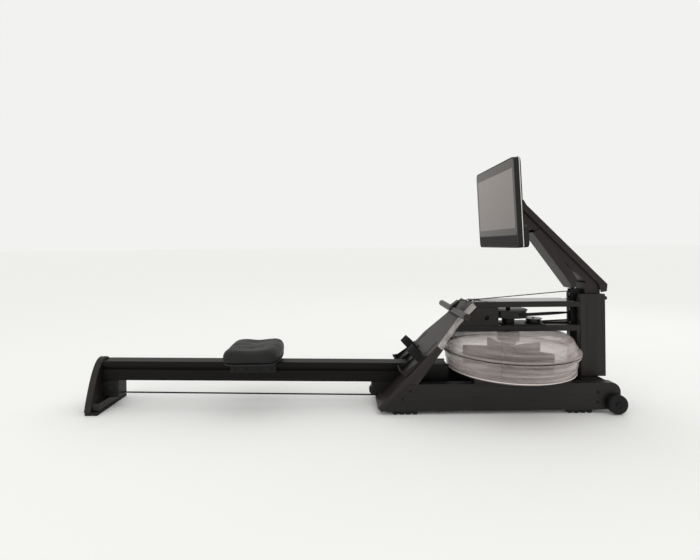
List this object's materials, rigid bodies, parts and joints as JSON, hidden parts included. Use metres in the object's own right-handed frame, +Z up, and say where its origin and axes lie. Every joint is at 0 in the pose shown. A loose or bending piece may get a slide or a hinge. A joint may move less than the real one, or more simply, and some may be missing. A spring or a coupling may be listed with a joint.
{
  "type": "rowing machine",
  "caption": "Low rowing machine with a sliding seat on a single rail, a clear round water tank, a strap-driven paddle and a tilting display on an arm.",
  "frame": {"origin": "middle of the machine's box, on the floor", "axes": "+X from the rear of the rail towards the tank, +Y to the rower's left, +Z up"},
  "size_m": [2.1662, 0.56, 1.0098],
  "materials": {
    "black_alloy": "black anodised extrusion",
    "black_plastic": "fine textured moulding",
    "black_rubber": "matte moulded rubber",
    "black_steel": "fine black powder coat",
    "bright_steel": "turned steel",
    "clear_polycarbonate": "clear blow-moulded polycarbonate",
    "grey_plastic": "smooth grey moulding",
    "screen_glass": "dark cover glass",
    "seat_foam": "black skinned foam",
    "stained_wood": "black-stained ash, satin lacquer",
    "webbing": "woven black webbing"
  },
  "bodies": {
    "frame": {"right_base_beam": "stained_wood", "left_base_beam": "stained_wood", "rail_socket": "black_steel", "rear_cross_beam": "stained_wood", "tank_cradle": "stained_wood", "right_front_foot": "black_rubber", "left_front_foot": "black_rubber", "right_rear_foot": "black_rubber", "left_rear_foot": "black_rubber", "tank_lower_shell": "clear_polycarbonate", "tank_upper_shell": "clear_polycarbonate", "tank_gasket": "black_rubber", "drive_mount": "black_steel", "handle_strap": "webbing", "bungee_cord": "black_rubber", "pulley_bracket": "black_steel", "right_post": "stained_wood", "left_post": "stained_wood", "right_top_strut": "stained_wood", "left_top_strut": "stained_wood", "right_lower_strut": "stained_wood", "left_lower_strut": "stained_wood", "spine_block": "stained_wood", "top_deck": "black_plastic", "footboard": "stained_wood", "monorail": "black_alloy", "rail_front_bracket": "black_steel", "rear_end_plate": "stained_wood", "rear_rail_support": "black_steel", "rear_rubber_sole": "black_rubber", "arm_core": "black_steel", "arm_upper_channel": "black_steel", "arm_lower_channel": "black_steel"},
    "seat": {"seat_pad": "seat_foam", "seat_carriage": "black_steel"},
    "handle": {"handle_bar": "stained_wood", "handle_yoke": "black_steel"},
    "right_heel_cup": {"right_footrest": "black_plastic", "right_foot_strap": "webbing"},
    "left_heel_cup": {"left_footrest": "black_plastic", "left_foot_strap": "webbing"},
    "display": {"display_housing": "black_plastic", "display_glass": "screen_glass", "display_bracket": "black_steel"},
    "seat_roller_rear_right_body": {"seat_roller_rear_right": "black_plastic"},
    "seat_roller_rear_left_body": {"seat_roller_rear_left": "black_plastic"},
    "seat_roller_front_right_body": {"seat_roller_front_right": "black_plastic"},
    "seat_roller_front_left_body": {"seat_roller_front_left": "black_plastic"},
    "right_wheel_body": {"right_wheel": "black_rubber"},
    "left_wheel_body": {"left_wheel": "black_rubber"},
    "impeller_body": {"impeller": "grey_plastic"},
    "drive_drum_body": {"drive_drum": "black_plastic"},
    "bungee_spool_body": {"bungee_spool": "black_plastic"},
    "strap_top_pulley_body": {"strap_top_pulley": "black_plastic"},
    "strap_lower_pulley_body": {"strap_lower_pulley": "black_plastic"},
    "strap_guide_roller_body": {"strap_guide_roller": "bright_steel"},
    "bungee_top_pulley_body": {"bungee_top_pulley": "black_plastic"},
    "bungee_bottom_pulley_body": {"bungee_bottom_pulley": "black_plastic"},
    "bungee_front_roller_body": {"bungee_front_roller": "black_plastic"},
    "tank_plug_body": {"tank_plug": "black_plastic"}
  },
  "joints": [
    {"name": "seat_slide", "type": "slide", "parent": "frame", "child": "seat", "axis": [0.9999, 0, -0.0157], "range_m": [-0.5, 0.44]},
    {"name": "handle_pull", "type": "slide", "parent": "frame", "child": "handle", "axis": [-0.9854, 0, 0.1701], "range_m": [0, 1.1], "stiffness_N_per_m": 20, "springref_m": -0.5},
    {"name": "right_footrest_slide", "type": "slide", "parent": "frame", "child": "right_heel_cup", "axis": [0.6972, 0, 0.7169], "range_m": [-0.03, 0.05]},
    {"name": "left_footrest_slide", "type": "slide", "parent": "frame", "child": "left_heel_cup", "axis": [0.6972, 0, 0.7169], "range_m": [-0.03, 0.05]},
    {"name": "display_tilt", "type": "hinge", "parent": "frame", "child": "display", "pos_m": [0.7069, 0, 0.775], "axis": [0, 1, 0], "range_deg": [-15, 15]},
    {"name": "right_wheel_spin", "type": "hinge", "parent": "frame", "child": "right_wheel_body", "pos_m": [1.0446, -0.155, 0.0405], "axis": [0, 1, 0], "continuous": true},
    {"name": "left_wheel_spin", "type": "hinge", "parent": "frame", "child": "left_wheel_body", "pos_m": [1.0446, 0.155, 0.0405], "axis": [0, 1, 0], "continuous": true},
    {"name": "impeller_spin", "type": "hinge", "parent": "frame", "child": "impeller_body", "pos_m": [0.6759, 0, 0.2], "axis": [0, 0, 1], "continuous": true},
    {"name": "tank_plug_lift", "type": "slide", "parent": "frame", "child": "tank_plug_body", "axis": [0, 0, 1], "range_m": [0, 0.03]},
    {"name": "drum_spin", "type": "hinge", "parent": "frame", "child": "drive_drum_body", "pos_m": [0.6759, 0, 0.3825], "axis": [0, 0, 1], "range_deg": [-10, 850]},
    {"name": "top_pulley_spin", "type": "hinge", "parent": "frame", "child": "strap_top_pulley_body", "pos_m": [0.9539, 0, 0.457], "axis": [0, 1, 0], "range_deg": [-3950, 10]},
    {"name": "lower_pulley_spin", "type": "hinge", "parent": "frame", "child": "strap_lower_pulley_body", "pos_m": [0.9539, 0, 0.397], "axis": [0, 1, 0], "range_deg": [-3950, 10]},
    {"name": "guide_roller_spin", "type": "hinge", "parent": "frame", "child": "strap_guide_roller_body", "pos_m": [0.5379, 0, 0.4225], "axis": [0, 1, 0], "range_deg": [-3900, 10]},
    {"name": "spool_spin", "type": "hinge", "parent": "frame", "child": "bungee_spool_body", "pos_m": [0.7839, 0, 0.349], "axis": [0, 0, 1], "range_deg": [-850, 10]},
    {"name": "bungee_top_pulley_spin", "type": "hinge", "parent": "frame", "child": "bungee_top_pulley_body", "pos_m": [0.9539, 0, 0.3314], "axis": [0, 1, 0], "range_deg": [-1700, 10]},
    {"name": "bungee_bottom_pulley_spin", "type": "hinge", "parent": "frame", "child": "bungee_bottom_pulley_body", "pos_m": [0.9539, 0, 0.0516], "axis": [0, 1, 0], "range_deg": [-1700, 10]},
    {"name": "bungee_front_roller_spin", "type": "hinge", "parent": "frame", "child": "bungee_front_roller_body", "pos_m": [0.0949, 0, 0.0576], "axis": [0, 1, 0], "range_deg": [-1300, 10]},
    {"name": "seat_roller_rear_right_spin", "type": "hinge", "parent": "seat", "child": "seat_roller_rear_right_body", "pos_m": [-0.49195, -0.0307, 0.16181], "axis": [0, 1, 0], "range_deg": [-4800, 4300]},
    {"name": "seat_roller_rear_left_spin", "type": "hinge", "parent": "seat", "child": "seat_roller_rear_left_body", "pos_m": [-0.49195, 0.0307, 0.16181], "axis": [0, 1, 0], "range_deg": [-4800, 4300]},
    {"name": "seat_roller_front_right_spin", "type": "hinge", "parent": "seat", "child": "seat_roller_front_right_body", "pos_m": [-0.33697, -0.0307, 0.15938], "axis": [0, 1, 0], "range_deg": [-4800, 4300]},
    {"name": "seat_roller_front_left_spin", "type": "hinge", "parent": "seat", "child": "seat_roller_front_left_body", "pos_m": [-0.33697, 0.0307, 0.15938], "axis": [0, 1, 0], "range_deg": [-4800, 4300]}
  ],
  "couplings": [
    {"joint": "drum_spin", "follows": "handle_pull", "rad_per_m": 13.19},
    {"joint": "top_pulley_spin", "follows": "handle_pull", "rad_per_m": -61.3},
    {"joint": "lower_pulley_spin", "follows": "handle_pull", "rad_per_m": -61.3},
    {"joint": "guide_roller_spin", "follows": "handle_pull", "rad_per_m": -60.2},
    {"joint": "spool_spin", "follows": "handle_pull", "rad_per_m": -13.19},
    {"joint": "bungee_top_pulley_spin", "follows": "handle_pull", "rad_per_m": -25.4},
    {"joint": "bungee_bottom_pulley_spin", "follows": "handle_pull", "rad_per_m": -25.4},
    {"joint": "bungee_front_roller_spin", "follows": "handle_pull", "rad_per_m": -18.9},
    {"joint": "seat_roller_rear_right_spin", "follows": "seat_slide", "rad_per_m": 163.9},
    {"joint": "seat_roller_rear_left_spin", "follows": "seat_slide", "rad_per_m": 163.9},
    {"joint": "seat_roller_front_right_spin", "follows": "seat_slide", "rad_per_m": 163.9},
    {"joint": "seat_roller_front_left_spin", "follows": "seat_slide", "rad_per_m": 163.9}
  ]
}
